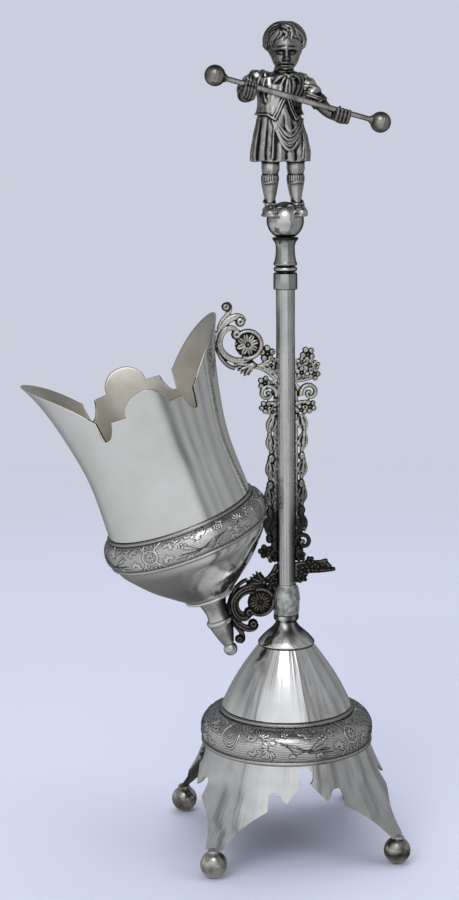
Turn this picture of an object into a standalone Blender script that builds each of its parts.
"""Silver-plated figural spoon holder: a tilted cup on a column with cast brackets.

Every size below is in millimetres. The meshes are scaled to metres as they are made.
The column's axis is vertical, the cup hangs towards -X and the front faces -Y.
"""

import math

import bmesh
import bpy
from mathutils import Matrix, Vector

MM = 0.001

# Fits
FIT = 0.3
BORE_CLEARANCE = 0.3

# How finely round parts are divided
LARGE_STEPS = 36
MIDDLE_STEPS = 24
SMALL_STEPS = 20
FOOT_STEPS = 16
ROD_STEPS = 12
ARC_STEPS = 4
DISC_SIDES = 12

# Ball feet
FOOT_RADIUS = 5.2
FOOT_WORN_FLAT = 0.25
FOOT_CIRCLE = 50.4

# Pierced skirt
SKIRT_HEIGHT = 29.3
SKIRT_TOP_RADIUS = 32.4
SKIRT_WALL = 0.9
LEG_TIP_WIDTH = 6.4
ARCH_HOLE_RADIUS = 3.1
ARCH_HOLE_DROP = 3.9
ARCH_NECK_HALF = 1.7
ARCH_POINT_X = 8.0
ARCH_POINT_DROP = 12.8
ARCH_NOTCH_X = 12.0
ARCH_NOTCH_RADIUS = 2.4
ARCH_NOTCH_DROP = 9.0
ARCH_CORNER_X = 15.2
ARCH_CORNER_DROP = 15.4
ARCH_BOW = 1.2

# Bulged base band
BAND_HEIGHT = 14.4
BAND_BULGE_RADIUS = 33.8
BAND_BULGE_HEIGHT = 6.0
BAND_BEAD = 0.8
BAND_WALL = 1.1

# Dome and cap
DOME_BOTTOM_RADIUS = 25.4
DOME_TOP_RADIUS = 10.8
DOME_HEIGHT = 24.1
DOME_WALL = 0.8
DOME_SWELL = 0.5
CAP_HEIGHT = 11.7
CAP_RADIUS = 11.1
CAP_NECK_RADIUS = 3.95
CAP_LIP_RADIUS = 4.9

# Column
TUBE_RADIUS = 3.6
TUBE_WALL = 0.7
TUBE_LENGTH = 131.0
SLEEVE_HEIGHT = 11.7
SLEEVE_RADIUS = 5.3
SLEEVE_LUMPS = 0.35
COLLAR_RADIUS = 4.55
COLLAR_OVERLAP = 4.6
COLLAR_WEB = 1.4
RING_RADIUS = 4.5
RING_HEIGHT = 2.1
NECK_HEIGHT = 10.6
NECK_WAIST_RADIUS = 3.65
NECK_FOOT_RADIUS = 4.5
NECK_TOP_RADIUS = 4.9

# Tie rod
ROD_RADIUS = 1.5
ROD_BELOW_CAP = 6.3
ROD_INTO_NECK = 6.1
WASHER_RADIUS = 5.0
WASHER_THICKNESS = 1.1
NUT_RADIUS = 3.7
NUT_THICKNESS = 2.6

# Figure
BALL_RADIUS = 7.05
BALL_SEAT_RADIUS = 3.7
FIGURE_HEIGHT = 66.5
HEAD_RADIUS = 8.6
BAR_RADIUS = 0.95
BAR_SPAN = 64.7
BAR_SLOPE = 15.4
BAR_CENTRE_X = 3.4
BAR_FORWARD = 8.2
BAR_HEIGHT = 37.7
BAR_BALL_RADIUS = 3.9
BAR_SOCKET_DEPTH = 2.6

# Cup, along its own axis, from the middle of the knob under it
CUP_KNOB_X = -22.2
CUP_KNOB_Z = 78.1
CUP_LEAN = 19.5
KNOB_RADIUS = 2.7
DROP_LENGTH = 19.5
DROP_TOP_RADIUS = 6.2
DROP_WAIST_RADIUS = 4.2
DROP_BELLY_RADIUS = 4.6
PLATE_RADIUS = 10.2
PLATE_THICKNESS = 1.7
BOWL_HEIGHT = 21.8
BOWL_FLOOR_RADIUS = 10.4
BOWL_FLOOR_THICKNESS = 1.0
BOWL_WALL = 0.9
CUP_BAND_HEIGHT = 12.0
CUP_BAND_FOOT_RADIUS = 31.0
CUP_BAND_BULGE_RADIUS = 32.7
CUP_BAND_BULGE_HEIGHT = 4.6
CUP_BAND_TOP_RADIUS = 28.9
CUP_BAND_BEAD = 0.7
CUP_BAND_WALL = 1.1
CUP_BODY_HEIGHT = 66.7
CUP_FOOT_RADIUS = 28.5
CUP_WAIST_RADIUS = 28.0
CUP_WAIST_HEIGHT = 14.0
CUP_LIP_RADIUS = 39.2
CUP_WALL = 0.8
STUD_RADIUS = 1.5
STUD_NUT_RADIUS = 3.4
STUD_NUT_THICKNESS = 2.3

# Lip of the cup: how far each feature lies below the tips of the two tall lobes
LOBE_END_DROP = 18.9
NOTCH_DROP = 26.5
STEP_DROP = 19.7
CREST_DROP = 12.1
LOBE_END_TURN = 54.0
NOTCH_TURN = 55.2
STEP_TURN = 64.6
CREST_TURN = 75.2

# Brackets
UPPER_ARM_DROP = 12.6
LOWER_ARM_DROP = 7.2
LOWER_ARM_TUCK = 1.6
ARM_HEIGHT = 30.6
ARM_THICKNESS = 3.0
ARM_BASE_HALF = 15.0
FRIEZE_THICKNESS = 2.4
STRIP_WIDTH = 1.3
STUB_REACH = 16.4

# Heights that follow from the sizes above
FOOT_CENTRE_Z = FOOT_RADIUS - FOOT_WORN_FLAT
SKIRT_BOTTOM_Z = FOOT_CENTRE_Z + FOOT_RADIUS + FIT
SKIRT_TOP_Z = SKIRT_BOTTOM_Z + SKIRT_HEIGHT
BAND_BOTTOM_Z = SKIRT_TOP_Z + FIT
BAND_TOP_Z = BAND_BOTTOM_Z + BAND_HEIGHT
DOME_BOTTOM_Z = BAND_TOP_Z + FIT
DOME_TOP_Z = DOME_BOTTOM_Z + DOME_HEIGHT
CAP_BOTTOM_Z = DOME_TOP_Z + FIT
CAP_TOP_Z = CAP_BOTTOM_Z + CAP_HEIGHT
TUBE_BOTTOM_Z = CAP_TOP_Z + FIT
TUBE_TOP_Z = TUBE_BOTTOM_Z + TUBE_LENGTH
COLLAR_TOP_Z = TUBE_TOP_Z + FIT + COLLAR_WEB
RING_BOTTOM_Z = COLLAR_TOP_Z + FIT
NECK_BOTTOM_Z = RING_BOTTOM_Z + RING_HEIGHT + FIT
NECK_TOP_Z = NECK_BOTTOM_Z + NECK_HEIGHT
BALL_BOTTOM_Z = NECK_TOP_Z + FIT
BALL_CENTRE_Z = BALL_BOTTOM_Z + math.sqrt(BALL_RADIUS**2 - BALL_SEAT_RADIUS**2)
BALL_TOP_Z = BALL_CENTRE_Z + BALL_RADIUS

# Places along the cup's own axis
DROP_BOTTOM_S = KNOB_RADIUS
DROP_TOP_S = DROP_BOTTOM_S + DROP_LENGTH
PLATE_BOTTOM_S = DROP_TOP_S + FIT
BOWL_BOTTOM_S = PLATE_BOTTOM_S + PLATE_THICKNESS + FIT
BOWL_TOP_S = BOWL_BOTTOM_S + BOWL_HEIGHT
CUP_BAND_BOTTOM_S = BOWL_TOP_S + FIT
CUP_BAND_TOP_S = CUP_BAND_BOTTOM_S + CUP_BAND_HEIGHT
CUP_BODY_BOTTOM_S = CUP_BAND_TOP_S + FIT
CUP_TIP_S = CUP_BODY_BOTTOM_S + CUP_BODY_HEIGHT

LEAN = math.radians(CUP_LEAN)
BAND_OUTER_POINTS = 12
ROD_BORE = ROD_RADIUS + BORE_CLEARANCE
STUD_BORE = STUD_RADIUS + BORE_CLEARANCE
TUBE_SIDE = TUBE_RADIUS + FIT


def clear_scene():
    for obj in list(bpy.data.objects):
        bpy.data.objects.remove(obj, do_unlink=True)


def make_material(name, colour, roughness, metallic):
    material = bpy.data.materials.new(name)
    material.use_nodes = True
    shader = material.node_tree.nodes["Principled BSDF"]
    shader.inputs["Base Color"].default_value = (*colour, 1.0)
    shader.inputs["Roughness"].default_value = roughness
    shader.inputs["Metallic"].default_value = metallic
    material.diffuse_color = (*colour, 1.0)
    return material


def make_object(name, bm, parent, colour, roughness=0.25, metallic=1.0, sharp=35.0):
    """Turns a bmesh in millimetres into an object in metres, with its own material."""
    bmesh.ops.remove_doubles(bm, verts=bm.verts, dist=0.001)
    bmesh.ops.dissolve_degenerate(bm, edges=bm.edges, dist=0.001)
    bmesh.ops.recalc_face_normals(bm, faces=bm.faces)
    bmesh.ops.scale(bm, vec=Vector((MM, MM, MM)), verts=bm.verts)
    mesh = bpy.data.meshes.new(name)
    bm.to_mesh(mesh)
    bm.free()
    mesh.shade_smooth()
    mesh.set_sharp_from_angle(angle=math.radians(sharp))
    mesh.materials.append(make_material(f"{name}_metal", colour, roughness, metallic))
    obj = bpy.data.objects.new(name, mesh)
    bpy.context.scene.collection.objects.link(obj)
    obj.parent = parent
    return obj


def make_frame(name, location, parent=None, lean=0.0):
    """An empty that carries the pieces of one axis. It leans towards -X."""
    frame = bpy.data.objects.new(name, None)
    frame.empty_display_size = 10 * MM
    bpy.context.scene.collection.objects.link(frame)
    frame.location = Vector(location) * MM
    frame.rotation_euler = (0.0, -lean, 0.0)
    frame.parent = parent
    return frame


def as_helper(obj):
    obj.hide_render = True
    obj.display_type = "WIRE"
    return obj


def add_boolean(obj, operation, other):
    """Joins or cuts with one object, or with every object of a collection."""
    modifier = obj.modifiers.new(operation.lower(), "BOOLEAN")
    modifier.operation = operation
    modifier.solver = "EXACT"
    if isinstance(other, bpy.types.Collection):
        modifier.operand_type = "COLLECTION"
        modifier.collection = other
    else:
        modifier.object = other


def between(low, high, share):
    return low + (high - low) * share


def quarter(start, end, steps, level_start):
    """Quarter ellipse from start to end. It leaves level, or else upright."""
    points = []
    for step in range(steps + 1):
        turn = math.pi / 2 * step / steps
        if level_start:
            across, along = math.sin(turn), 1 - math.cos(turn)
        else:
            across, along = 1 - math.cos(turn), math.sin(turn)
        points.append((between(start[0], end[0], across), between(start[1], end[1], along)))
    return points


def arc(centre, radius, first, last, steps):
    """Points on a circle between two angles in degrees."""
    points = []
    for step in range(steps + 1):
        turn = math.radians(between(first, last, step / steps))
        points.append((centre[0] + radius * math.cos(turn), centre[1] + radius * math.sin(turn)))
    return points


def flowing(points, pieces):
    """A smooth curve through a few points, each stretch divided into pieces."""
    ends = [points[0], *points, points[-1]]
    found = []
    for p0, p1, p2, p3 in zip(ends, ends[1:], ends[2:], ends[3:]):
        for step in range(pieces):
            t = step / pieces
            found.append(
                tuple(
                    0.5 * (2 * b + (c - a) * t + (2 * a - 5 * b + 4 * c - d) * t**2
                           + (3 * b - a - 3 * c + d) * t**3)
                    for a, b, c, d in zip(p0, p1, p2, p3)
                )
            )
    return found + [tuple(points[-1])]


def radius_at(profile, height):
    """Radius of a turned profile at a height. The profile climbs."""
    for (r0, z0), (r1, z1) in zip(profile, profile[1:]):
        if z0 <= height <= z1:
            return between(r0, r1, (height - z0) / (z1 - z0))
    return profile[0][0] if height < profile[0][1] else profile[-1][0]


def inner_wall(outer, wall):
    """The same climbing profile moved in by a wall, square to its own slope."""
    moved = []
    for index, (radius, height) in enumerate(outer):
        before = Vector(outer[max(index - 1, 0)])
        after = Vector(outer[min(index + 1, len(outer) - 1)])
        along = (after - before).normalized()
        moved.append((radius - wall * along.y, height + wall * along.x))
    moved[0] = (radius_at(moved[:2], outer[0][1]), outer[0][1])
    moved[-1] = (moved[-1][0], outer[-1][1])
    return moved


def turned(profile, steps, closed=False):
    """Spins (radius, height) points about Z. A closed profile goes round a hollow."""
    bm = bmesh.new()
    verts = [bm.verts.new((radius, 0.0, height)) for radius, height in profile]
    edges = [bm.edges.new(pair) for pair in zip(verts, verts[1:])]
    if closed:
        edges.append(bm.edges.new((verts[-1], verts[0])))
    bmesh.ops.spin(
        bm, geom=verts + edges, cent=(0, 0, 0), axis=(0, 0, 1), angle=math.tau, steps=steps
    )
    return bm


def turned_shell(outer, wall, steps):
    return turned(outer + inner_wall(outer, wall)[::-1], steps, closed=True)


def ball_profile(radius, centre, bottom, top, steps):
    """Half outline of a ball between two heights."""
    first = math.asin(max((bottom - centre) / radius, -1.0))
    last = math.asin(min((top - centre) / radius, 1.0))
    points = []
    for step in range(steps + 1):
        turn = between(first, last, step / steps)
        points.append((radius * math.cos(turn), centre + radius * math.sin(turn)))
    return points


def banded(bottom, height, foot, bulge, bulge_height, head, bead, wall):
    """Closed section of a bulged band with a bead along both edges. The outer side comes first."""
    top = bottom + height
    low = bottom + 2 * bead
    high = top - 2 * bead
    middle = bottom + bulge_height
    outer = arc((foot, bottom + bead), bead, -90, 90, 3)
    outer += quarter((foot, low), (bulge, middle), 2, True)[1:]
    outer += quarter((bulge, middle), (head, high), 3, False)[1:]
    outer += arc((head, top - bead), bead, -90, 90, 3)[1:]
    inner = [(head - wall, top), (head - wall, high - wall)]
    inner += [(bulge - wall, middle), (foot - wall, low), (foot - wall, bottom)]
    return outer + inner


def lofted(sections, sides, grow=0.0):
    """A solid through level ellipses. Each section is (height, x, y, half width, half depth)."""
    bm = bmesh.new()
    rings = []
    for height, x, y, half_width, half_depth in sections:
        ring = []
        for side in range(sides):
            turn = math.tau * side / sides
            across = (half_width + grow) * math.cos(turn)
            deep = (half_depth + grow) * math.sin(turn)
            ring.append(bm.verts.new((x + across, y + deep, height)))
        rings.append(ring)
    for low, high in zip(rings, rings[1:]):
        for side in range(sides):
            after = (side + 1) % sides
            bm.faces.new((low[side], low[after], high[after], high[side]))
    bm.faces.new(rings[0][::-1])
    bm.faces.new(rings[-1])
    return bm


def limb(path, sides):
    """A round limb along a path. Each point is (x, y, z, radius). Both ends are domed."""
    bm = bmesh.new()
    centres = [Vector(point[:3]) for point in path]
    rings = []
    for index, point in enumerate(path):
        before = centres[max(index - 1, 0)]
        after = centres[min(index + 1, len(path) - 1)]
        along = (after - before).normalized()
        across = along.cross(Vector((0, 1, 0))).normalized()
        other = along.cross(across)
        ring = []
        for side in range(sides):
            turn = math.tau * side / sides
            offset = across * math.cos(turn) + other * math.sin(turn)
            ring.append(bm.verts.new(centres[index] + offset * point[3]))
        rings.append(ring)
    for low, high in zip(rings, rings[1:]):
        for side in range(sides):
            after = (side + 1) % sides
            bm.faces.new((low[side], low[after], high[after], high[side]))
    for ring, tip in ((rings[0], 0), (rings[-1], -1)):
        inward = 1 if tip == 0 else -2
        away = (centres[tip] - centres[inward]).normalized()
        point = bm.verts.new(centres[tip] + away * path[tip][3] * 0.6)
        for side in range(sides):
            bm.faces.new((ring[side], ring[(side + 1) % sides], point))
    return bm


def plate(outline, thickness):
    """A flat casting: (x, z) points, as thick as given about Y = 0."""
    bm = bmesh.new()
    front = [bm.verts.new((x, -thickness / 2, z)) for x, z in outline]
    face = bm.faces.new(front)
    grown = bmesh.ops.extrude_face_region(bm, geom=[face])
    moved = [item for item in grown["geom"] if isinstance(item, bmesh.types.BMVert)]
    bmesh.ops.translate(bm, vec=(0, thickness, 0), verts=moved)
    return bm


def ribbon(points, widths, thickness):
    """A flat bar that follows (x, z) points, with a width at each."""
    bm = bmesh.new()
    rings = []
    for index, point in enumerate(points):
        before = Vector(points[max(index - 1, 0)])
        after = Vector(points[min(index + 1, len(points) - 1)])
        along = (after - before).normalized()
        side = Vector((-along.y, along.x)) * widths[index] / 2
        ring = []
        for across, deep in ((1, -1), (-1, -1), (-1, 1), (1, 1)):
            corner = Vector(point) + across * side
            ring.append(bm.verts.new((corner.x, deep * thickness / 2, corner.y)))
        rings.append(ring)
    for this, after in zip(rings, rings[1:]):
        for corner in range(4):
            other = (corner + 1) % 4
            bm.faces.new((this[corner], this[other], after[other], after[corner]))
    bm.faces.new(rings[0][::-1])
    bm.faces.new(rings[-1])
    return bm


def disc(centre, radius, thickness):
    return plate(arc(centre, radius, 0, 360, DISC_SIDES)[:-1], thickness)


def floret(centre, radius, thickness):
    """A five-petalled flower."""
    outline = []
    petals = 5
    for step in range(petals * 2):
        turn = math.tau * step / (petals * 2)
        reach = radius * (1.0 if step % 2 else 0.78)
        outline.append((centre[0] + reach * math.cos(turn), centre[1] + reach * math.sin(turn)))
    return plate(outline, thickness)


def leaf(base, tip, width, thickness):
    """A pointed leaf or husk between two points."""
    base, tip = Vector(base), Vector(tip)
    shares = (0.0, 0.3, 0.65, 1.0)
    swells = (0.45, 1.0, 0.8, 0.15)
    points = [tuple(base.lerp(tip, share)) for share in shares]
    return ribbon(points, [width * swell for swell in swells], thickness)


def volute(centre, radius, width, first, turns, thickness):
    """A scroll that winds in to its eye. A negative count of turns winds the other way."""
    steps = round(abs(turns) * 10)
    points = []
    for step in range(steps + 1):
        share = step / steps
        turn = math.radians(first) + math.tau * turns * share
        reach = between(radius - width / 2, width * 0.6, share)
        points.append((centre[0] + reach * math.cos(turn), centre[1] + reach * math.sin(turn)))
    widths = [between(width, width * 0.75, step / steps) for step in range(steps + 1)]
    return ribbon(points, widths, thickness)


def side_of_cup(outline, height):
    """How far right the cup reaches at a height, in the bracket's plane."""
    reached = []
    points = []
    for radius, along in outline:
        points.append(
            (
                CUP_KNOB_X - along * math.sin(LEAN) + radius * math.cos(LEAN),
                CUP_KNOB_Z + along * math.cos(LEAN) + radius * math.sin(LEAN),
            )
        )
    for (x0, z0), (x1, z1) in zip(points, points[1:]):
        if min(z0, z1) <= height <= max(z0, z1) and z0 != z1:
            reached.append(between(x0, x1, (height - z0) / (z1 - z0)))
    return max(reached)


def cup_body_outer():
    """Outer profile of the trumpet body, from its foot to the tips of the tall lobes."""
    bottom = CUP_BODY_BOTTOM_S
    waist = bottom + CUP_WAIST_HEIGHT
    points = [(CUP_FOOT_RADIUS, bottom), (CUP_WAIST_RADIUS, waist)]
    flare = ((0.16, 0.01), (0.30, 0.08), (0.46, 0.21), (0.62, 0.37), (0.75, 0.53), (0.87, 0.72),
             (1.0, 1.0))
    for along, out in flare:
        points.append(
            (between(CUP_WAIST_RADIUS, CUP_LIP_RADIUS, out), between(waist, CUP_TIP_S, along))
        )
    return points


def drop_profile():
    """Outline of the pendant, from under its knob up to the end of its stud."""
    knob = ball_profile(KNOB_RADIUS, 0.0, -KNOB_RADIUS, KNOB_RADIUS * 0.8, 6)
    length = DROP_TOP_S - DROP_BOTTOM_S
    body = [
        (KNOB_RADIUS * 0.85, DROP_BOTTOM_S),
        (between(KNOB_RADIUS, DROP_BELLY_RADIUS, 0.55), DROP_BOTTOM_S + length * 0.18),
        (DROP_BELLY_RADIUS, DROP_BOTTOM_S + length * 0.48),
        (DROP_WAIST_RADIUS, DROP_BOTTOM_S + length * 0.66),
        (between(DROP_WAIST_RADIUS, DROP_TOP_RADIUS, 0.7), DROP_BOTTOM_S + length * 0.9),
        (DROP_TOP_RADIUS, DROP_TOP_S),
    ]
    stud_top = BOWL_BOTTOM_S + BOWL_FLOOR_THICKNESS + FIT + STUD_NUT_THICKNESS + FIT
    return knob + body + [(STUD_RADIUS, DROP_TOP_S), (STUD_RADIUS, stud_top), (0.0, stud_top)]


def bowl_outer():
    """Outer profile of the bowl, from its floor to its rim."""
    rim = CUP_BAND_FOOT_RADIUS - CUP_BAND_BEAD
    points = []
    for along, out in ((0.0, 0.0), (0.18, 0.24), (0.42, 0.54), (0.70, 0.81), (0.87, 0.95),
                       (1.0, 1.0)):
        points.append((between(BOWL_FLOOR_RADIUS, rim, out),
                       between(BOWL_BOTTOM_S, BOWL_TOP_S, along)))
    return points


def plate_profile():
    """Section of the disc under the bowl, round its hole."""
    middle = PLATE_BOTTOM_S + PLATE_THICKNESS / 2
    top = PLATE_BOTTOM_S + PLATE_THICKNESS
    rim = PLATE_RADIUS - PLATE_THICKNESS / 2
    return [(STUD_BORE, PLATE_BOTTOM_S), (rim, PLATE_BOTTOM_S), (PLATE_RADIUS, middle), (rim, top),
            (STUD_BORE, top)]


def cup_band_section():
    return banded(CUP_BAND_BOTTOM_S, CUP_BAND_HEIGHT, CUP_BAND_FOOT_RADIUS, CUP_BAND_BULGE_RADIUS,
                  CUP_BAND_BULGE_HEIGHT, CUP_BAND_TOP_RADIUS, CUP_BAND_BEAD, CUP_BAND_WALL)


def cup_outline():
    """Whole outer outline of the hanging cup, from its knob to its lip."""
    band_outer = cup_band_section()[:BAND_OUTER_POINTS]
    return drop_profile()[:-3] + plate_profile()[1:-1] + bowl_outer() + band_outer + cup_body_outer()


CUP_OUTLINE = cup_outline()
LIP_TIP_Z = CUP_KNOB_Z + CUP_TIP_S * math.cos(LEAN) + CUP_LIP_RADIUS * math.sin(LEAN)
PLATE_SIDE_Z = (CUP_KNOB_Z + (PLATE_BOTTOM_S + PLATE_THICKNESS / 2) * math.cos(LEAN)
                + PLATE_RADIUS * math.sin(LEAN))
UPPER_ARM_Z = LIP_TIP_Z - UPPER_ARM_DROP
LOWER_ARM_Z = PLATE_SIDE_Z - LOWER_ARM_DROP
LEFT_REACH = -CUP_KNOB_X + CUP_TIP_S * math.sin(LEAN) + CUP_LIP_RADIUS * math.cos(LEAN)
RIGHT_REACH = FOOT_CIRCLE * math.sqrt(0.5) + FOOT_RADIUS
COLUMN_X = (LEFT_REACH - RIGHT_REACH) / 2

SILVER = (0.74, 0.74, 0.73)
DULL_SILVER = (0.52, 0.52, 0.50)
DARK_SILVER = (0.16, 0.15, 0.14)
LEAD = (0.42, 0.44, 0.43)
STEEL = (0.35, 0.33, 0.31)


def build_feet(column):
    for end, sign_y in (("front", -1), ("back", 1)):
        for side, sign_x in (("left", -1), ("right", 1)):
            outline = ball_profile(FOOT_RADIUS, 0.0, -FOOT_CENTRE_Z, FOOT_RADIUS, 8)
            bm = turned([(0.0, -FOOT_CENTRE_Z), *outline], FOOT_STEPS)
            foot = make_object(f"foot_ball_{end}_{side}", bm, column, SILVER)
            reach = FOOT_CIRCLE * math.sqrt(0.5) * MM
            foot.location = (sign_x * reach, sign_y * reach, FOOT_CENTRE_Z * MM)


def arch_outline():
    """Half outline of one arch from its crown down to the leg's tip, then its mirror."""
    hole_z = SKIRT_TOP_Z - ARCH_HOLE_DROP
    neck_turn = math.degrees(math.acos(ARCH_NECK_HALF / ARCH_HOLE_RADIUS))
    half = arc((0.0, hole_z), ARCH_HOLE_RADIUS, 90, -neck_turn, 5)
    notch_z = SKIRT_TOP_Z - ARCH_NOTCH_DROP - ARCH_NOTCH_RADIUS
    half.append((ARCH_POINT_X, SKIRT_TOP_Z - ARCH_POINT_DROP))
    half += arc((ARCH_NOTCH_X, notch_z), ARCH_NOTCH_RADIUS, 180, 0, 4)
    corner = (ARCH_CORNER_X, SKIRT_TOP_Z - ARCH_CORNER_DROP)
    tip = ((FOOT_CIRCLE - LEG_TIP_WIDTH / 2) * math.sqrt(0.5), SKIRT_BOTTOM_Z)
    for step in range(5):
        share = step / 4
        bow = ARCH_BOW * math.sin(math.pi * share)
        half.append((between(corner[0], tip[0], share), between(corner[1], tip[1], share) + bow))
    half.append((tip[0], 0.0))
    return [(-x, z) for x, z in half[:0:-1]] + half


def build_skirt(column):
    tip_radius = FOOT_CIRCLE + SKIRT_WALL / 2
    flare = [(0.0, 0.0), (0.1, 0.15), (0.2, 0.3), (0.32, 0.44), (0.585, 0.71), (0.8, 0.87),
             (1.0, 1.0)]
    outer = []
    for out, down in flare[::-1]:
        outer.append(
            (between(SKIRT_TOP_RADIUS, tip_radius, out), SKIRT_TOP_Z - SKIRT_HEIGHT * down)
        )
    skirt = make_object("base_skirt", turned_shell(outer, SKIRT_WALL, LARGE_STEPS), column, SILVER)
    for number, turn in enumerate((0.0, math.pi / 2)):
        cutter = plate(arch_outline(), 3 * FOOT_CIRCLE)
        bmesh.ops.rotate(cutter, cent=(0, 0, 0), matrix=Matrix.Rotation(turn, 3, "Z"),
                         verts=cutter.verts)
        helper = as_helper(make_object(f"arch_cutter_{number}", cutter, column, SILVER))
        add_boolean(skirt, "DIFFERENCE", helper)


def build_base(column):
    section = banded(BAND_BOTTOM_Z, BAND_HEIGHT, SKIRT_TOP_RADIUS + 0.4, BAND_BULGE_RADIUS,
                     BAND_BULGE_HEIGHT, DOME_BOTTOM_RADIUS + 0.4, BAND_BEAD, BAND_WALL)
    make_object("base_band", turned(section, LARGE_STEPS, closed=True), column, DULL_SILVER)

    outer = []
    for share in (0.0, 0.33, 0.67, 1.0):
        swell = DOME_SWELL * math.sin(math.pi * share)
        outer.append((between(DOME_BOTTOM_RADIUS, DOME_TOP_RADIUS, share) + swell,
                      between(DOME_BOTTOM_Z, DOME_TOP_Z, share)))
    make_object("base_dome", turned_shell(outer, DOME_WALL, LARGE_STEPS), column, SILVER)

    shoulder = CAP_BOTTOM_Z + CAP_HEIGHT * 0.06
    neck = CAP_BOTTOM_Z + CAP_HEIGHT * 0.75
    section = [
        (ROD_BORE, CAP_BOTTOM_Z),
        (CAP_RADIUS - 0.1, CAP_BOTTOM_Z),
        (CAP_RADIUS, shoulder),
        (between(CAP_NECK_RADIUS, CAP_RADIUS, 0.87), between(shoulder, neck, 0.17)),
        (between(CAP_NECK_RADIUS, CAP_RADIUS, 0.58), between(shoulder, neck, 0.42)),
        (between(CAP_NECK_RADIUS, CAP_RADIUS, 0.24), between(shoulder, neck, 0.64)),
        (between(CAP_NECK_RADIUS, CAP_RADIUS, 0.06), between(shoulder, neck, 0.82)),
        (CAP_NECK_RADIUS, neck),
        (between(CAP_NECK_RADIUS, CAP_LIP_RADIUS, 0.3), between(neck, CAP_TOP_Z, 0.45)),
        (CAP_LIP_RADIUS, between(neck, CAP_TOP_Z, 0.8)),
        (CAP_LIP_RADIUS, CAP_TOP_Z),
        (ROD_BORE, CAP_TOP_Z),
    ]
    make_object("base_cap", turned(section, MIDDLE_STEPS, closed=True), column, SILVER)


def build_column(column):
    bore = TUBE_RADIUS - TUBE_WALL
    section = [(TUBE_RADIUS, TUBE_BOTTOM_Z), (TUBE_RADIUS, TUBE_TOP_Z), (bore, TUBE_TOP_Z),
               (bore, TUBE_BOTTOM_Z)]
    make_object("column_tube", turned(section, MIDDLE_STEPS, closed=True), column, SILVER)

    section = [(TUBE_SIDE, TUBE_BOTTOM_Z)]
    for along, out in ((0.0, 0.72), (0.2, 0.95), (0.5, 1.0), (0.8, 0.86), (1.0, 0.0)):
        section.append((between(TUBE_SIDE + 0.5, SLEEVE_RADIUS, out),
                        TUBE_BOTTOM_Z + SLEEVE_HEIGHT * along))
    section.append((TUBE_SIDE, TUBE_BOTTOM_Z + SLEEVE_HEIGHT))
    bm = turned(section, SMALL_STEPS, closed=True)
    for vert in bm.verts:
        reach = math.hypot(vert.co.x, vert.co.y)
        if reach > TUBE_SIDE + 0.6:
            turn = math.atan2(vert.co.y, vert.co.x)
            lump = SLEEVE_LUMPS * (math.sin(2 * turn + vert.co.z) + math.sin(5 * turn) * 0.4)
            vert.co.x *= 1 + lump / reach
            vert.co.y *= 1 + lump / reach
    make_object("column_solder_sleeve", bm, column, LEAD, roughness=0.6, metallic=0.6)

    collar_bottom = TUBE_TOP_Z - COLLAR_OVERLAP
    section = [
        (TUBE_SIDE, collar_bottom),
        (COLLAR_RADIUS - 0.1, collar_bottom),
        (COLLAR_RADIUS, collar_bottom + 0.3),
        (COLLAR_RADIUS, COLLAR_TOP_Z - 0.5),
        (COLLAR_RADIUS - 0.4, COLLAR_TOP_Z),
        (ROD_BORE, COLLAR_TOP_Z),
        (ROD_BORE, TUBE_TOP_Z + FIT),
        (TUBE_SIDE, TUBE_TOP_Z + FIT),
    ]
    make_object("column_collar", turned(section, MIDDLE_STEPS, closed=True), column, SILVER)

    middle = RING_BOTTOM_Z + RING_HEIGHT / 2
    outer = arc((RING_RADIUS - RING_HEIGHT / 2, middle), RING_HEIGHT / 2, -90, 90, ARC_STEPS)
    section = [(ROD_BORE, RING_BOTTOM_Z), *outer, (ROD_BORE, RING_BOTTOM_Z + RING_HEIGHT)]
    make_object("column_ring", turned(section, MIDDLE_STEPS, closed=True), column, SILVER)

    bore_top = NECK_BOTTOM_Z + ROD_INTO_NECK + FIT
    outline = [
        (0.0, bore_top),
        (ROD_BORE, bore_top),
        (ROD_BORE, NECK_BOTTOM_Z),
        (NECK_FOOT_RADIUS - 0.3, NECK_BOTTOM_Z),
        (NECK_FOOT_RADIUS, NECK_BOTTOM_Z + NECK_HEIGHT * 0.08),
        (between(NECK_WAIST_RADIUS, NECK_FOOT_RADIUS, 0.5), NECK_BOTTOM_Z + NECK_HEIGHT * 0.22),
        (NECK_WAIST_RADIUS, NECK_BOTTOM_Z + NECK_HEIGHT * 0.45),
        (NECK_WAIST_RADIUS, NECK_BOTTOM_Z + NECK_HEIGHT * 0.68),
        (between(NECK_WAIST_RADIUS, NECK_TOP_RADIUS, 0.45), NECK_BOTTOM_Z + NECK_HEIGHT * 0.86),
        (NECK_TOP_RADIUS, NECK_BOTTOM_Z + NECK_HEIGHT * 0.95),
        (NECK_TOP_RADIUS, NECK_TOP_Z),
        (0.0, NECK_TOP_Z),
    ]
    make_object("column_neck", turned(outline, MIDDLE_STEPS), column, SILVER)

    outline = ball_profile(BALL_RADIUS, BALL_CENTRE_Z, BALL_BOTTOM_Z, BALL_TOP_Z, 9)
    bm = turned([(0.0, BALL_BOTTOM_Z), *outline], MIDDLE_STEPS)
    make_object("figure_ball", bm, column, SILVER)


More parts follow.
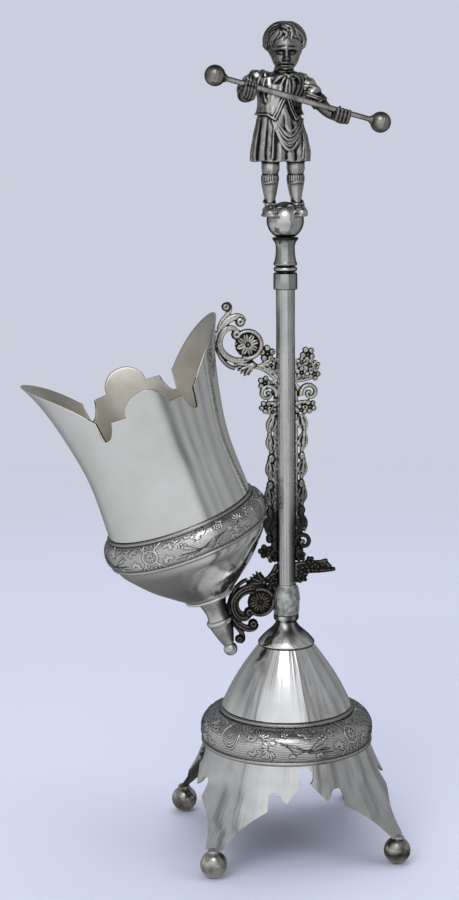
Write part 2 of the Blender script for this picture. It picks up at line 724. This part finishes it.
def build_tie_rod(column):
    bottom = CAP_BOTTOM_Z - ROD_BELOW_CAP
    top = NECK_BOTTOM_Z + ROD_INTO_NECK
    outline = [(0.0, bottom), (ROD_RADIUS, bottom), (ROD_RADIUS, top), (0.0, top)]
    make_object("tie_rod", turned(outline, ROD_STEPS), column, STEEL, roughness=0.5)

    washer_top = CAP_BOTTOM_Z - FIT
    washer_bottom = washer_top - WASHER_THICKNESS
    section = [(ROD_BORE, washer_bottom), (WASHER_RADIUS, washer_bottom),
               (WASHER_RADIUS, washer_top), (ROD_BORE, washer_top)]
    make_object("tie_rod_washer", turned(section, FOOT_STEPS, closed=True), column, STEEL, 0.5)

    nut_top = washer_bottom - FIT
    make_object("tie_rod_nut", hex_nut(NUT_RADIUS, ROD_BORE, nut_top - NUT_THICKNESS, nut_top),
                column, STEEL, 0.5)


def hex_nut(radius, bore, bottom, top):
    """A six-sided nut with a six-sided hole that clears its bolt."""
    hole = bore / math.cos(math.pi / 6)
    return turned([(hole, bottom), (radius, bottom), (radius, top), (hole, top)], 6, closed=True)


def figure_sections():
    """Level sections of the body from the smock's hem up into the head."""
    feet = BALL_TOP_Z
    unit = FIGURE_HEIGHT / 67.0
    rows = [
        (15.6, -1.8, 0.2, 11.6, 8.4),
        (18.2, -1.8, 0.2, 11.7, 8.5),
        (24.7, -1.8, 0.1, 10.6, 7.4),
        (31.2, -2.0, 0.0, 9.9, 6.7),
        (37.7, -1.8, 0.0, 9.5, 6.3),
        (43.2, -1.4, 0.1, 10.2, 5.8),
        (46.2, -1.0, 0.2, 8.8, 4.9),
        (48.0, -0.4, 0.4, 4.4, 3.8),
        (53.0, 0.0, 0.4, 3.1, 3.1),
    ]
    return [(feet + unit * row[0], *(unit * value for value in row[1:])) for row in rows]


def egg(centre, radii, sides, rings):
    """An ellipsoid."""
    bm = bmesh.new()
    bmesh.ops.create_uvsphere(bm, u_segments=sides, v_segments=rings, radius=1.0)
    bmesh.ops.scale(bm, vec=Vector(radii), verts=bm.verts)
    bmesh.ops.translate(bm, vec=Vector(centre), verts=bm.verts)
    return bm


def build_figure(column):
    feet = BALL_TOP_Z
    unit = FIGURE_HEIGHT / 67.0
    crown = feet + FIGURE_HEIGHT - HEAD_RADIUS * 0.92
    pieces = [
        egg((0.0, 0.8, crown), (HEAD_RADIUS, HEAD_RADIUS * 0.97, HEAD_RADIUS * 0.92), 14, 9),
        egg((0.4, -1.8, crown - 4.2 * unit), (5.8 * unit, 6.0 * unit, 6.6 * unit), 12, 8),
    ]
    for x in (-5.9 * unit, 4.2 * unit):
        leg = [
            (feet - 3.0 * unit, x * 1.02, -0.6, 2.3, 2.4),
            (feet + 0.6 * unit, x, -0.3, 2.2, 2.3),
            (feet + 7.0 * unit, x * 0.98, 0.2, 3.6, 3.6),
            (feet + 10.5 * unit, x * 0.97, 0.0, 3.2, 3.2),
            (feet + 17.0 * unit, x * 0.95, 0.0, 3.5, 3.5),
        ]
        pieces.append(lofted(leg, 10))
        pieces.append(egg((x * 1.06, -2.6, feet - 3.1 * unit), (3.2, 5.2, 2.9), 10, 7))
    body = make_object("figure_body", lofted(figure_sections(), 16), column, DARK_SILVER, 0.35)
    joined = bpy.data.collections.new("figure_pieces")
    bpy.context.scene.collection.children.link(joined)
    for number, bm in enumerate(pieces):
        helper = as_helper(make_object(f"figure_piece_{number}", bm, column, DARK_SILVER))
        bpy.context.scene.collection.objects.unlink(helper)
        joined.objects.link(helper)
    add_boolean(body, "UNION", joined)
    seat = egg((0, 0, BALL_CENTRE_Z), (BALL_RADIUS + FIT,) * 3, 24, 14)
    add_boolean(body, "DIFFERENCE", as_helper(make_object("ball_seat", seat, column, SILVER)))


def bar_point(share):
    """A point on the bar's axis, from its left end to its right end."""
    slope = math.radians(BAR_SLOPE)
    along = (share - 0.5) * BAR_SPAN
    return Vector((BAR_CENTRE_X + along * math.cos(slope), -BAR_FORWARD,
                   BALL_TOP_Z + BAR_HEIGHT - along * math.sin(slope)))


def build_arms_and_bar(column):
    body_gap = as_helper(
        make_object("body_gap", lofted(figure_sections(), 16, grow=FIT), column, SILVER)
    )
    slope = math.radians(BAR_SLOPE)
    bar_frame = make_frame("bar_frame", bar_point(0.0), column)
    bar_frame.rotation_euler = (0.0, math.pi / 2 + slope, 0.0)
    gap = turned([(0.0, 0.0), (BAR_RADIUS + FIT, 0.0), (BAR_RADIUS + FIT, BAR_SPAN),
                  (0.0, BAR_SPAN)], ROD_STEPS)
    bar_gap = as_helper(make_object("bar_gap", gap, bar_frame, SILVER))

    feet = BALL_TOP_Z
    unit = FIGURE_HEIGHT / 67.0
    left_hand = bar_point(0.21) - Vector((0, -0.9, BAR_RADIUS + 2.8 * unit))
    right_hand = bar_point(0.77) - Vector((0, -0.8, BAR_RADIUS + 1.6 * unit))
    arms = {
        "figure_arm_left": [
            (-8.8 * unit, 0.3, feet + 45.2 * unit, 3.5 * unit),
            (-12.7 * unit, -1.0, feet + 44.0 * unit, 3.8 * unit),
            (-15.9 * unit, -3.0, feet + 40.9 * unit, 3.7 * unit),
            (*left_hand, 3.0 * unit),
        ],
        "figure_arm_right": [
            (6.6 * unit, 0.2, feet + 44.8 * unit, 3.4 * unit),
            (9.6 * unit, -0.8, feet + 41.5 * unit, 3.4 * unit),
            (12.4 * unit, -3.2, feet + 36.4 * unit, 3.1 * unit),
            (16.6 * unit, -5.6, feet + 33.0 * unit, 2.6 * unit),
            (*right_hand, 2.4 * unit),
        ],
    }
    for name, path in arms.items():
        arm = make_object(name, limb(path, 10), column, DARK_SILVER, 0.35)
        add_boolean(arm, "DIFFERENCE", body_gap)
        add_boolean(arm, "DIFFERENCE", bar_gap)

    inset = BAR_BALL_RADIUS - BAR_SOCKET_DEPTH
    outline = [(0.0, inset), (BAR_RADIUS, inset), (BAR_RADIUS, BAR_SPAN - inset),
               (0.0, BAR_SPAN - inset)]
    make_object("balance_bar", turned(outline, ROD_STEPS), bar_frame, DULL_SILVER)
    socket = BAR_RADIUS + BORE_CLEARANCE
    mouth = math.sqrt(BAR_BALL_RADIUS**2 - socket**2)
    outline = ball_profile(BAR_BALL_RADIUS, 0.0, -BAR_BALL_RADIUS, mouth, 7)
    outline += [(socket, inset - FIT), (0.0, inset - FIT)]
    for name, centre, turn in (("bar_ball_left", 0.0, 0.0), ("bar_ball_right", BAR_SPAN, math.pi)):
        ball = make_object(name, turned(outline, FOOT_STEPS), bar_frame, DULL_SILVER)
        ball.location = (0.0, 0.0, centre * MM)
        ball.rotation_euler = (turn, 0.0, 0.0)


def lip_outline():
    """(turn, height) round one quarter of the lip, from a tall lobe to a short crest."""
    lip = []
    for turn in (0.0, 9.0, 18.0, 26.0, 34.0, 41.0, 47.0, 51.0, LOBE_END_TURN):
        drop = LOBE_END_DROP * (turn / LOBE_END_TURN) ** 1.95
        lip.append((turn, CUP_TIP_S - drop))
    notch = CUP_TIP_S - NOTCH_DROP
    step = CUP_TIP_S - STEP_DROP
    lip.append((LOBE_END_TURN - 1.6, between(notch, step, 0.63)))
    lip.append((LOBE_END_TURN - 2.4, between(notch, step, 0.25)))
    lip.append((LOBE_END_TURN - 1.4, between(notch, step, 0.04)))
    lip.append((NOTCH_TURN, notch))
    lip.append((between(NOTCH_TURN, STEP_TURN, 0.34), between(notch, step, 0.09)))
    lip.append((between(NOTCH_TURN, STEP_TURN, 0.58), between(notch, step, 0.3)))
    lip.append((between(NOTCH_TURN, STEP_TURN, 0.8), between(notch, step, 0.58)))
    lip.append((STEP_TURN, step))
    lip.append((CREST_TURN, step))
    for along, up in ((0.03, 0.3), (0.22, 0.62), (0.48, 0.86), (0.74, 0.97), (1.0, 1.0)):
        lip.append((between(CREST_TURN, 90.0, along),
                    between(step, CUP_TIP_S - CREST_DROP, up)))
    return lip


def wall_turns(turns):
    """Where the upright lines of the wall stand. Below the lip they never turn back."""
    found = list(turns)
    first = turns.index(LOBE_END_TURN)
    last = turns.index(STEP_TURN)
    for index in range(first, last + 1):
        share = (index - first) / (last - first)
        found[index] = between(LOBE_END_TURN - 2.2, STEP_TURN, share)
    return found


def build_cup_body(cup):
    lip = lip_outline()
    turns = wall_turns([turn for turn, height in lip])
    fourth = [(turn, lip_turn, height) for turn, (lip_turn, height) in zip(turns, lip)]
    half = fourth + [(180 - a, 180 - b, height) for a, b, height in fourth[-2::-1]]
    whole = half + [(360 - a, 360 - b, height) for a, b, height in half[-2:0:-1]]
    outer_profile = flowing(cup_body_outer(), 2)
    top_row = CUP_TIP_S - NOTCH_DROP - 2.4
    rows = [between(CUP_BODY_BOTTOM_S, top_row, share) for share in (0.0, 0.5, 1.0)]

    bm = bmesh.new()
    columns = []
    for wall_turn, lip_turn, lip_height in whole:
        outer, inner = [], []
        line = [(wall_turn, height) for height in rows]
        for share in (0.36, 0.7, 1.0):
            line.append((between(wall_turn, lip_turn, share),
                         between(top_row, lip_height, share)))
        for turn, height in line:
            angle = math.pi + math.radians(turn)
            radius = radius_at(outer_profile, height)
            for side, reach in ((outer, radius), (inner, radius - CUP_WALL)):
                side.append(
                    bm.verts.new((reach * math.cos(angle), reach * math.sin(angle), height))
                )
        columns.append(outer + inner[::-1])
    for this, after in zip(columns, columns[1:] + columns[:1]):
        count = len(this)
        for index in range(count):
            under = (index + 1) % count
            bm.faces.new((this[index], after[index], after[under], this[under]))
    make_object("cup_body", bm, cup, SILVER)


def build_cup(cup):
    build_cup_body(cup)
    make_object("cup_band", turned(cup_band_section(), LARGE_STEPS, closed=True), cup, DULL_SILVER)

    outer = bowl_outer()
    inner = inner_wall(outer, BOWL_WALL)[1:]
    floor = BOWL_BOTTOM_S + BOWL_FLOOR_THICKNESS
    section = [(STUD_BORE, BOWL_BOTTOM_S), *outer, *inner[::-1], (BOWL_FLOOR_RADIUS - 0.6, floor),
               (STUD_BORE, floor)]
    make_object("cup_bowl", turned(section, LARGE_STEPS, closed=True), cup, SILVER)
    make_object("cup_plate", turned(plate_profile(), MIDDLE_STEPS, closed=True), cup, SILVER)
    make_object("cup_drop", turned(drop_profile(), SMALL_STEPS), cup, SILVER)
    nut_bottom = floor + FIT
    nut = hex_nut(STUD_NUT_RADIUS, STUD_BORE, nut_bottom, nut_bottom + STUD_NUT_THICKNESS)
    make_object("cup_drop_nut", nut, cup, STEEL, 0.5)


def cast_node(name, pieces, cutters, column):
    """One casting: the pieces joined, then cut clear of what it is soldered to."""
    casting = make_object(name, pieces[0], column, DARK_SILVER, 0.4)
    joined = bpy.data.collections.new(f"{name}_pieces")
    bpy.context.scene.collection.children.link(joined)
    for number, bm in enumerate(pieces[1:]):
        helper = as_helper(make_object(f"{name}_piece_{number}", bm, column, DARK_SILVER))
        bpy.context.scene.collection.objects.unlink(helper)
        joined.objects.link(helper)
    add_boolean(casting, "UNION", joined)
    for cutter in cutters:
        add_boolean(casting, "DIFFERENCE", cutter)


def widths_along(points, first, last):
    return [between(first, last, index / (len(points) - 1)) for index in range(len(points))]


def arm_pieces(centre_z, reach, upward):
    """Scroll arm. Points are (distance from the tube, height over the arm's middle)."""
    unit = ARM_HEIGHT / 30.6
    extra = reach / unit - 23.6

    def at(out, up):
        out += extra * min(out / 9.4, 1.0)
        return (-TUBE_SIDE - unit * out, centre_z + unit * upward * up)

    def path(*points):
        return flowing([at(*point) for point in points], 2)

    thick = ARM_THICKNESS
    ring = path((13.4, 5.3), (16.4, 6.9), (19.4, 5.3), (21.0, 2.0), (20.8, -1.4), (18.2, -4.3),
                (14.4, -5.5), (11.4, -5.2))
    crest = path((22.0, 3.2), (19.9, 6.9), (17.0, 9.9), (14.7, 10.7), (12.9, 9.9))
    curl = path((20.8, 6.4), (20.0, 8.8), (18.2, 10.8), (16.9, 13.0), (17.2, 15.0), (18.5, 15.8),
                (19.4, 14.8))
    edge = path((22.4, 3.4), (22.2, -1.2), (20.2, -5.2), (17.3, -8.0), (15.2, -9.0))
    fan = [at(17.0, -5.2), at(14.8, -9.6), at(13.0, -11.8), at(11.1, -12.6), at(9.7, -11.0),
           at(9.0, -8.0), at(9.8, -5.0)]
    stalk = [at(9.6, -6.2), at(5.2, -7.0), at(2.2, -6.0), at(-1.2, -5.2), at(-1.2, -14.8),
             at(1.0, -13.2), at(3.0, -11.2), at(6.0, -10.2), at(9.6, -10.4)]
    return [
        disc(at(10.5, 0.0), 5.7 * unit, thick * 1.2),
        ribbon(ring, widths_along(ring, 1.9 * unit, 2.1 * unit), thick),
        disc(at(15.0, 4.4), 2.2 * unit, thick * 1.08),
        ribbon(crest, widths_along(crest, 1.8 * unit, 2.4 * unit), thick * 0.9),
        disc(at(13.1, 9.0), 1.8 * unit, thick * 0.94),
        ribbon(curl, widths_along(curl, 2.2 * unit, 1.5 * unit), thick * 0.8),
        ribbon(edge, widths_along(edge, 2.4 * unit, 1.4 * unit), thick * 0.86),
        plate([at(24.2, 7.4), at(24.2, -0.4), at(21.2, -0.8), at(20.8, 6.6)], thick * 0.72),
        plate(fan, thick * 0.76),
        plate(stalk, thick * 0.96),
        floret(at(3.1, -3.9), 2.9 * unit, thick * 1.12),
    ]


def frieze_pieces(side, low, high, rows):
    """Narrow casting along one side of the tube. Rows are (kind, out, share of height, size),
    as drawn for a strip 1.3 wide."""
    unit = STRIP_WIDTH / 1.3

    def at(out, share):
        return (side * (TUBE_SIDE + out), between(low, high, share))

    thick = FRIEZE_THICKNESS
    strip = [at(-1.0, 0.0), at(STRIP_WIDTH, 0.0), at(STRIP_WIDTH, 1.0), at(-1.0, 1.0)]
    pieces = [plate(strip, thick * 0.8)]
    for number, (kind, out, share, size) in enumerate(rows):
        out, size = out * unit, size * unit
        depth = thick * (1.0 + 0.07 * (number % 5))
        stem_end = out - size * 0.7
        if stem_end > 0.8 * STRIP_WIDTH and share < 0.97:
            stem = [at(-1.0, share), at(stem_end, share)]
            pieces.append(ribbon(stem, [STRIP_WIDTH, STRIP_WIDTH], thick * (0.6 + 0.01 * number)))
        if kind == "floret":
            pieces.append(floret(at(out, share), size, depth))
        elif kind == "husk":
            x, z = at(out, share)
            lean = side * size * 0.4
            pieces.append(leaf((x - lean, z + size * 1.6), (x + lean, z - size * 1.7), size * 1.6,
                               depth))
        elif kind == "bud":
            pieces.append(disc(at(out, share), size, depth))
        else:
            turns = 1.3 if side < 0 else -1.3
            first = -20 if side < 0 else 200
            pieces.append(volute(at(out, share), size, size * 0.36, first, turns, depth))
    return pieces


LEFT_FRIEZE = (
    ("floret", 4.3, 1.008, 2.4), ("volute", 3.1, 0.945, 3.9), ("floret", 4.0, 0.87, 2.3),
    ("bud", 1.4, 0.825, 1.9), ("husk", 1.5, 0.755, 2.2), ("bud", 1.9, 0.675, 2.0),
    ("husk", 2.0, 0.595, 2.0), ("bud", 2.0, 0.515, 1.9), ("husk", 2.5, 0.44, 2.1),
    ("bud", 2.4, 0.365, 2.1), ("husk", 2.6, 0.28, 2.2), ("bud", 2.8, 0.195, 2.2),
    ("floret", 4.6, 0.06, 2.4),
)
RIGHT_FRIEZE = (
    ("volute", 5.6, 0.945, 4.0), ("floret", 5.6, 0.865, 2.4), ("floret", 2.1, 0.845, 2.2),
    ("husk", 2.8, 0.76, 2.4), ("bud", 2.9, 0.672, 2.0), ("husk", 1.9, 0.595, 2.0),
    ("bud", 2.6, 0.516, 1.9), ("husk", 2.3, 0.435, 2.1), ("bud", 2.2, 0.36, 2.0),
    ("husk", 2.5, 0.28, 2.2), ("bud", 2.7, 0.2, 2.1), ("volute", 2.7, 0.11, 3.9),
)


def upper_stub_pieces(base):
    """Root of the missing right arm at the top of the frieze, from its flat lower end."""
    thick = FRIEZE_THICKNESS
    unit = STRIP_WIDTH / 1.3

    def at(out, up):
        return (TUBE_SIDE + unit * out, base + unit * up)

    root = [at(-1.0, 0.0), at(2.0, 0.0), at(6.0, 1.0), at(8.6, 1.6), at(9.0, 5.0), at(6.6, 8.4),
            at(2.0, 8.8), at(-1.0, 9.2)]
    return [plate(root, thick), floret(at(4.7, 10.8), 2.6 * unit, thick * 1.2),
            floret(at(6.9, 2.8), 2.4 * unit, thick * 1.3),
            floret(at(5.4, 6.0), 2.5 * unit, thick * 1.1)]


def lower_stub_pieces(top, floor):
    """Root of the missing right arm at the foot of the frieze."""
    thick = FRIEZE_THICKNESS
    side = TUBE_SIDE
    reach = STUB_REACH
    root = [
        (side - 1.0, top), (side + reach * 0.34, top - 0.1),
        (side + reach * 0.72, top + 1.4), (side + reach * 0.86, top - 1.0),
        (side + reach, top - 3.2), (side + reach * 0.9, top - 4.8),
        (side + reach * 0.34, top - 4.0), (side + reach * 0.23, top - 5.6),
        (side + reach * 0.28, max(top - 7.6, floor)), (side - 1.0, floor),
    ]
    return [plate(root, thick), floret((side + 3.4, top - 3.2), 2.5, thick * 1.3)]


def build_brackets(column, cup):
    outline = [(radius + FIT, along) for radius, along in CUP_OUTLINE]
    gap = turned([(0.0, -KNOB_RADIUS - FIT), *outline, (0.0, CUP_TIP_S)], LARGE_STEPS)
    cup_gap = as_helper(make_object("cup_gap", gap, cup, SILVER))
    gap = turned([(0.0, CAP_BOTTOM_Z), (TUBE_SIDE, CAP_BOTTOM_Z), (TUBE_SIDE, NECK_TOP_Z),
                  (0.0, NECK_TOP_Z)], MIDDLE_STEPS)
    tube_gap = as_helper(make_object("tube_gap", gap, column, SILVER))
    sleeve_side = SLEEVE_RADIUS + 2 * SLEEVE_LUMPS + FIT
    sleeve_top = TUBE_BOTTOM_Z + SLEEVE_HEIGHT + FIT
    gap = turned([(0.0, CAP_BOTTOM_Z), (sleeve_side, CAP_BOTTOM_Z), (sleeve_side, sleeve_top),
                  (0.0, sleeve_top)], MIDDLE_STEPS)
    sleeve_gap = as_helper(make_object("sleeve_gap", gap, column, SILVER))

    upper_reach = -side_of_cup(CUP_OUTLINE, UPPER_ARM_Z + 3.5) - TUBE_SIDE
    lower_reach = -side_of_cup(CUP_OUTLINE, LOWER_ARM_Z) - TUBE_SIDE + LOWER_ARM_TUCK
    cast_node("bracket_upper_arm", arm_pieces(UPPER_ARM_Z, upper_reach, 1), [cup_gap, tube_gap],
              column)
    cast_node("bracket_lower_arm", arm_pieces(LOWER_ARM_Z, lower_reach, -1),
              [cup_gap, tube_gap, sleeve_gap], column)

    low = LOWER_ARM_Z + ARM_BASE_HALF + FIT
    high = UPPER_ARM_Z - ARM_BASE_HALF - FIT
    cast_node("bracket_frieze_left", frieze_pieces(-1, low, high, LEFT_FRIEZE),
              [cup_gap, tube_gap], column)
    cast_node("bracket_frieze_right", frieze_pieces(1, low, high, RIGHT_FRIEZE), [tube_gap],
              column)
    cast_node("bracket_upper_stub", upper_stub_pieces(high + FIT), [tube_gap], column)
    cast_node("bracket_lower_stub", lower_stub_pieces(low - FIT, sleeve_top), [tube_gap], column)


def main():
    clear_scene()
    column = make_frame("column_axis", (COLUMN_X, 0.0, 0.0))
    cup = make_frame("cup_axis", (CUP_KNOB_X, 0.0, CUP_KNOB_Z), column, LEAN)
    build_feet(column)
    build_skirt(column)
    build_base(column)
    build_column(column)
    build_tie_rod(column)
    build_figure(column)
    build_arms_and_bar(column)
    build_cup(cup)
    build_brackets(column, cup)
    bpy.context.view_layer.update()


main()
